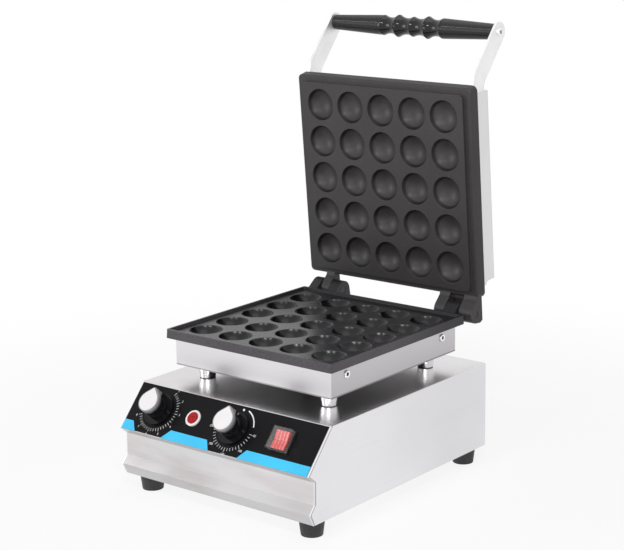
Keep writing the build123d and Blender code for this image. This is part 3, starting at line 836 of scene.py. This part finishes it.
class WAFFLE_OT_castings(bpy.types.Operator):
    """Coat the two cup plates, and add the lower part of the web in the lid's right fork, which also
    stands in for the shade between the fork's ears
    """

    bl_idname = "waffle.castings"
    bl_label = "Cup plates"

    def execute(self, context):
        tones = context.scene.waffle_finish
        # Each coating's painted shade and wear: start, end, share of the tone and wear at the end
        lower_shade_and_wear = (Vector((0, -0.06, 0)), Vector((0, 0.10, 0)), 0.40, 0.24)
        lid_shade_and_wear = (lid_point(0, 0.20, 0), lid_point(0, 0.03, 0), 0.88, 0.0)
        lower = coated_casting(
            "coating_lower", tones.coating, tones.cup, lower_cup_mask, lower_cup_depth,
            rough_ground=0.28, rough_cup=0.22, gloss=0.36, shade_and_wear=lower_shade_and_wear, sides=3.0, haze=0.06,
        )
        lid = coated_casting(
            "coating_lid", tones.lid_coating, tones.lid_coating, lid_cup_mask, lid_cup_depth,
            rough_ground=0.46, rough_cup=0.40, gloss=0.30, shade_and_wear=lid_shade_and_wear,
        )
        finish_nodes(lower, "lower_plate")
        finish_nodes(lid, "lid_plate")
        # The web's outline, in mm: distance from the hinge along the lid, distance behind the cups
        outline = [(16.0, 8.0), (12.0, 8.6), (10.6, 9.2), (9.6, 10.4), (9.4, 13.7), (16.0, 13.7)]
        web = [lid_point(0, along * mm, behind * mm) for along, behind in outline]
        web_left, web_right = 94.0 * mm, 115.9 * mm
        # The web's dark coating also fills the shade between the fork's ears
        cross_bar("fork_web_and_shade", web, web_left, web_right, "lid", lid, "lid_coating")
        return {"FINISHED"}


class WAFFLE_OT_base_fittings(bpy.types.Operator):
    """Finish the feet, the posts, the gland and the inner parts"""

    bl_idname = "waffle.base_fittings"
    bl_label = "Feet and posts"

    def execute(self, context):
        feet = rubber("foot_rubber", (0.025, 0.025, 0.027))
        # The posts get a painted contact shadow where they stand on the base
        posts = polished_metal("post_chrome", (0.86, 0.86, 0.87), 0.15, foot=base_high.z)
        black = moulded_plastic("inner_plastic", (0.03, 0.03, 0.03), 0.45)
        finish_nodes(feet, "foot_front_left", "foot_front_right", "foot_back_left", "foot_back_right")
        finish_nodes(posts, "support_posts")
        finish_nodes(black, "cable_gland", "terminal_block", "timer_body", "thermostat_body")
        return {"FINISHED"}


class WAFFLE_OT_handle(bpy.types.Operator):
    """Make the ribbed grip and finish its two arms"""

    bl_idname = "waffle.handle"
    bl_label = "Handle"

    def radius_at(self, x, sizes):
        """Radius of the grip at a distance from its middle

        Two valleys come first, and then a taper with ribs on all but its two ends.
        """
        reach = abs(x) / mm
        taper_at, taper_radius = grip_valleys[-1][-1]
        if reach >= taper_at:
            share = (reach - taper_at) / (grip_high.x / mm - taper_at)
            radius = taper_radius + (grip_end_radius - taper_radius) * share
            if 0.03 < share < 0.97:
                wave = abs(math.sin(math.pi * (reach - taper_at) * mm / sizes.rib_pitch))
                radius -= sizes.rib_depth / mm * (1 - wave)
            return radius * mm
        valley = grip_valleys[0] if reach < grip_valleys[0][-1][0] else grip_valleys[1]
        (a, first), (b, middle), (c, last) = valley
        radius = first * (reach - b) * (reach - c) / ((a - b) * (a - c))
        radius += middle * (reach - a) * (reach - c) / ((b - a) * (b - c))
        radius += last * (reach - a) * (reach - b) / ((c - a) * (c - b))
        return radius * mm

    def execute(self, context):
        sizes = context.scene.waffle_grip
        half = grip_high.x
        stations_per_rib = 6
        step = sizes.rib_pitch / stations_per_rib
        chamfer = 0.8 * mm
        count = int(2 * half / step)
        stations = [-half + 2 * half * k / count for k in range(count + 1)]
        profile = [(x, self.radius_at(x, sizes)) for x in stations]
        first_end, last_end = [(x, radius - chamfer) for x, radius in (profile[0], profile[-1])]
        origin = Vector((0, grip_middle.y, grip_middle.z))
        shape = turned([first_end, *profile, last_end], origin, Vector((1, 0, 0)), sizes.sides)
        plastic = context.scene.waffle_finish.plastic
        gloss = moulded_plastic("grip_gloss", plastic, 0.12, texture=300.0, gloss=0.4)
        grip = add_piece("grip_ribbed", *shape, "lid", gloss, "grip_plastic", smooth=True)
        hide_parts("handle_grip")
        arms = satin_aluminium("arm_satin", (0.83, 0.82, 0.83))
        finish_nodes(arms, "handle_arm_left", "handle_arm_right")
        return {"FINISHED"}


class WAFFLE_OT_panel_print(bpy.types.Operator):
    """Print the panel: ground, blue stripes, ticks, numbers, dot and arc"""

    bl_idname = "waffle.panel_print"
    bl_label = "Panel print"

    def ticks(self, name, seat, angles, sizes, ink):
        """Radial bars, each with an angle and a share of the usual length"""
        points, faces = [], []
        for degrees, scale in angles:
            near = sizes.tick_radius
            far = near + sizes.tick_length * scale
            start = len(points)
            for radius, half in ((near, -1), (far, -1), (far, 1), (near, 1)):
                aside = half * sizes.tick_width / 2
                points.append(dial_point(seat, degrees, radius, sizes.print_lift, aside))
            faces.append((start + 3, start + 2, start + 1, start))
        add_piece(name, points, faces, "base", ink, "overlay_print")

    def number(self, name, text, seat, degrees, sizes, ink):
        curve = bpy.data.curves.new(name, "FONT")
        curve.body = text
        curve.size = sizes.number_height
        curve.align_x = "CENTER"
        curve.align_y = "CENTER"
        curve.materials.append(ink)
        piece = new_object(name, curve)
        spot = dial_point(seat, degrees, sizes.number_radius, sizes.print_lift)
        piece.matrix_world = placed(spot, panel_right, panel_up, panel_out)
        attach(piece, "base")

    def scale(self, names, seat, first, step, every, longer, texts, sizes, ink):
        """Ticks clockwise from a first angle, with a longer one and a number at every so many

        names are the name of the ticks and the start of the numbers' names.
        """
        count = every * (len(texts) - 1) + 1
        angles = [(first + step * k, 1.0 if k % every else longer) for k in range(count)]
        self.ticks(names[0], seat, angles, sizes, ink)
        for k, text in enumerate(texts):
            self.number(names[1] + text, text, seat, first + step * every * k, sizes, ink)

    def arc(self, name, seat, start, end, radius, width, sizes, ink):
        """Arc of even width from one angle to another, in steps of about three degrees"""
        steps = round((end - start) / 3)
        points, faces = [], []
        for k in range(steps + 1):
            degrees = start + (end - start) * k / steps
            for reach in (radius - width / 2, radius + width / 2):
                points.append(dial_point(seat, degrees, reach, sizes.print_lift))
        for k in range(steps):
            faces.append((2 * k, 2 * k + 1, 2 * k + 3, 2 * k + 2))
        add_piece(name, points, faces, "base", ink, "overlay_print")

    def execute(self, context):
        tones = context.scene.waffle_finish
        sizes = context.scene.waffle_dials
        blue = printed("stripe_ink", tones.stripe, 0.35)
        white = printed("mark_ink", tones.marks, 0.4)
        bright = printed("bright_ink", (0.9, 0.9, 0.92), 0.4)
        finish_nodes(printed("panel_ground", tones.panel, 0.30, gloss=0.08), "control_overlay")
        # The stripes' corners, in mm: place across the panel, drop from its top fold
        top, foot = 52.7, 65.4
        stripes = {
            "stripe_left": ((-147.4, foot), (-124.2, foot), (-133.5, top), (-147.4, top)),
            "stripe_middle": ((-80.9, foot), (-3.3, foot), (-11.5, top), (-70.3, top)),
            "stripe_right": ((41.5, foot), (147.4, foot), (147.4, top), (51.0, top)),
        }
        for name, corners in stripes.items():
            points = [panel_point(x * mm, drop * mm, sizes.print_lift) for x, drop in corners]
            add_piece(name, points, [(0, 1, 2, 3)], "base", blue, "overlay_print")
        self.scale(
            ("ticks_timer", "timer_number_"), timer_seat, first=28, step=7.825, every=4,
            longer=1.3, texts=("1", "2", "3", "4", "5", "6", "7", "8"), sizes=sizes, ink=white,
        )
        self.scale(
            ("ticks_thermostat", "heat_number_"), thermostat_seat, first=94, step=8.57, every=5,
            longer=1.35, texts=("50", "100", "150", "200", "250"), sizes=sizes, ink=white,
        )
        arc_radius, arc_width = 27.5 * mm, 1.6 * mm
        self.arc("heat_arc", thermostat_seat, 20, 74, arc_radius, arc_width, sizes, bright)
        dot = [(0.0, 1.5 * mm), (0.05 * mm, 1.4 * mm)]
        spot = thermostat_seat + panel_up * 25.8 * mm + panel_right * 1.6 * mm + panel_out * 0.4 * mm
        add_piece("heat_dot", *turned(dot, spot, panel_out, 20), "base", bright, "overlay_print")
        return {"FINISHED"}


class WAFFLE_OT_controls(bpy.types.Operator):
    """Finish the knobs, the lamp and the rocker switch"""

    bl_idname = "waffle.controls"
    bl_label = "Controls"

    def execute(self, context):
        tones = context.scene.waffle_finish
        for dial, seat in (("timer", timer_seat), ("thermostat", thermostat_seat)):
            knob = knob_plastic(f"{dial}_plastic", tones.plastic, tones.cap, seat)
            finish_nodes(knob, f"{dial}_knob")
        finish_nodes(printed("cap_silver", tones.cap, 0.4), "timer_inlay", "thermostat_inlay")
        finish_nodes(moulded_plastic("lamp_white", (0.78, 0.74, 0.74), 0.3), "lamp_bezel")
        finish_nodes(ruby_lens("lamp_ruby", (0.26, 0.010, 0.012)), "lamp_lens")
        finish_nodes(moulded_plastic("switch_black", (0.02, 0.02, 0.02), 0.3), "switch_frame")
        finish_nodes(ribbed_rocker("rocker_red", tones.red), "switch_rocker")
        finish_nodes(clear_cover("cover_clear", (0.9, 0.88, 0.88)), "switch_cover")
        return {"FINISHED"}


class WAFFLE_OT_screws(bpy.types.Operator):
    """Put the small screws on the heating box, the lid shell and the grip's ends"""

    bl_idname = "waffle.screws"
    bl_label = "Screws"

    def execute(self, context):
        sizes = context.scene.waffle_screws
        bright = polished_metal("screw_metal", (0.88, 0.88, 0.89), 0.18)
        dark = polished_metal("screw_dark", (0.30, 0.29, 0.30), 0.35)
        # Painted shade for the screws' sockets and cross recesses
        recess = moulded_plastic("screw_recess_shade", (0.02, 0.02, 0.02), 0.6)
        box_level = plate_level - 18.5 * mm
        box_ends = {"front": plate_middle_y - 97.0 * mm, "back": plate_middle_y + 97.0 * mm}
        lid_depth = 20.8 * mm
        lid_ends = {"low": 58.8 * mm, "high": 251.0 * mm}
        for side, word in ((-1, "left"), (1, "right")):
            out = Vector((side, 0, 0))
            for end, y in box_ends.items():
                spot = Vector((side * housing_high.x, y, box_level))
                socket_head(f"box_screw_{word}_{end}", spot, out, sizes.box_head, "base", bright, recess)
            for end, along in lid_ends.items():
                spot = lid_point(side * shell_high.x, along, lid_depth)
                screw_head(f"lid_screw_{word}_{end}", spot, out, sizes.lid_head, "lid", dark, recess)
            spot = Vector((side * arm_high.x, grip_middle.y, grip_middle.z))
            screw_head(f"grip_screw_{word}", spot, out, sizes.grip_head, "lid", bright, recess)
        return {"FINISHED"}


class WAFFLE_OT_stage(bpy.types.Operator):
    """Set up the floor, the lamps, the world and the camera"""

    bl_idname = "waffle.stage"
    bl_label = "Stage"

    def seen(self, t):
        """One for rays from the camera, off gloss and through clear pieces"""
        path = t.add("LightPath").outputs
        eye_or_gloss = t.math("MAXIMUM", path["Is Camera Ray"], path["Is Glossy Ray"])
        return t.math("MAXIMUM", eye_or_gloss, path["Is Transmission Ray"])

    def floor(self, sizes):
        """Paper that keeps the shadow near the machine, and turns white to the eye away from it"""
        mesh = bpy.data.meshes.new("floor")
        ring = bmesh.new()
        bmesh.ops.create_circle(ring, cap_ends=True, radius=sizes.floor_radius, segments=96)
        ring.to_mesh(mesh)
        ring.free()
        new_object("floor", mesh)
        t, place = new_material("floor_white")
        cloud = t.noise(place, 3.0, 2.0)
        grey = t.shade((0.86, 0.86, 0.86), t.vary(cloud, 0.99, 1.01))
        paper = t.add("BsdfDiffuse", {"Color": grey})
        glow = t.add("Emission", {"Strength": 1.0})
        away = t.add("VectorMath", {0: place}, operation="LENGTH").outputs["Value"]
        share = t.times(t.spread(away, 0.35, 1.0, 0.85, 1.0), self.seen(t))
        mix = t.add("MixShader", {0: share, 1: paper.outputs[0], 2: glow.outputs[0]})
        mesh.materials.append(t.finish(mix))

    def world(self, context):
        """White to the eye and in gloss, and a softer light on the machine"""
        t = Tree(bpy.data.worlds.new("studio"))
        strength = t.spread(self.seen(t), 0.0, 1.0, 0.36, 1.0)
        sky = t.add("Background", {"Color": (1, 1, 1, 1), "Strength": strength})
        context.scene.world = t.finish(sky, "OutputWorld")

    def lamp(self, name, spot, target, size, power):
        light = bpy.data.lights.new(name, "AREA")
        light.shape = "RECTANGLE"
        light.size, light.size_y = size
        light.energy = power
        lamp = new_object(name, light)
        lamp.location = spot
        lamp.rotation_euler = (Vector(target) - Vector(spot)).to_track_quat("-Z", "Y").to_euler()

    def camera(self, context, sizes):
        """The photograph's camera, placed from the middle of the lower plate"""
        azimuth, elevation, roll = sizes.azimuth, sizes.elevation, sizes.roll
        back = Vector((
            math.sin(azimuth) * math.cos(elevation),
            -math.cos(azimuth) * math.cos(elevation),
            math.sin(elevation),
        ))
        right = Vector((math.cos(azimuth), math.sin(azimuth), 0))
        up = back.cross(right)
        tilted_right = right * math.cos(roll) + up * math.sin(roll)
        tilted_up = up * math.cos(roll) - right * math.sin(roll)
        data = bpy.data.cameras.new("camera")
        data.lens = sizes.lens
        data.sensor_width = 36
        data.clip_end = 100
        from_plate = Vector((1340.3, -1646.9, 579.3)) * mm
        spot = from_plate + Vector((0, plate_middle_y, plate_level))
        camera = new_object("camera", data)
        camera.matrix_world = placed(spot, tilted_right, tilted_up, back)
        context.scene.camera = camera

    def execute(self, context):
        sizes = context.scene.waffle_stage
        self.floor(sizes)
        self.world(context)
        # Each lamp: its spot, target and size in metres, and its power in watts
        lamps = {
            "lamp_above": ((0.2, 0.2, 2.2), (0, 0, 0.2), (1.6, 1.2), 6),
            "lamp_key": ((1.15, -1.25, 1.65), (0, 0, 0.2), (0.42, 0.32), 14),
            "lamp_side": ((0.1, -1.7, 1.65), (0, 0, 0.2), (0.40, 0.26), 6),
            "lamp_left": ((-1.6, -1.5, 0.7), (0, 0, 0.25), (1.0, 1.0), 12),
            "lamp_low": ((1.3, -2.0, 0.5), (0, 0, 0.25), (1.2, 0.7), 9),
        }
        for name, settings in lamps.items():
            self.lamp(name, *settings)
        self.camera(context, sizes)
        context.scene.view_settings.view_transform = "Standard"
        return {"FINISHED"}


class WAFFLE_PT_sidebar(bpy.types.Panel):
    """Buttons for each group of pieces"""

    bl_idname = "WAFFLE_PT_sidebar"
    bl_label = "Waffle maker"
    bl_space_type = "VIEW_3D"
    bl_region_type = "UI"
    bl_category = "Waffle maker"

    def draw(self, context):
        for operator in operators:
            self.layout.operator(operator.bl_idname)


operators = (
    WAFFLE_OT_steel,
    WAFFLE_OT_castings,
    WAFFLE_OT_base_fittings,
    WAFFLE_OT_handle,
    WAFFLE_OT_panel_print,
    WAFFLE_OT_controls,
    WAFFLE_OT_screws,
    WAFFLE_OT_stage,
)
groups = {
    "waffle_finish": FinishColours,
    "waffle_dials": DialSizes,
    "waffle_grip": GripSizes,
    "waffle_screws": ScrewSizes,
    "waffle_stage": StageSizes,
}


def register():
    for group in groups.values():
        bpy.utils.register_class(group)
    for name, group in groups.items():
        setattr(bpy.types.Scene, name, PointerProperty(type=group))
    for operator in operators:
        bpy.utils.register_class(operator)
    bpy.utils.register_class(WAFFLE_PT_sidebar)


def unregister():
    bpy.utils.unregister_class(WAFFLE_PT_sidebar)
    for operator in reversed(operators):
        bpy.utils.unregister_class(operator)
    for name, group in reversed(list(groups.items())):
        delattr(bpy.types.Scene, name)
        bpy.utils.unregister_class(group)


def main():
    register()
    bpy.ops.waffle.steel()
    bpy.ops.waffle.castings()
    bpy.ops.waffle.base_fittings()
    bpy.ops.waffle.handle()
    bpy.ops.waffle.panel_print()
    bpy.ops.waffle.controls()
    bpy.ops.waffle.screws()
    bpy.ops.waffle.stage()


if __name__ == "__main__":
    main()
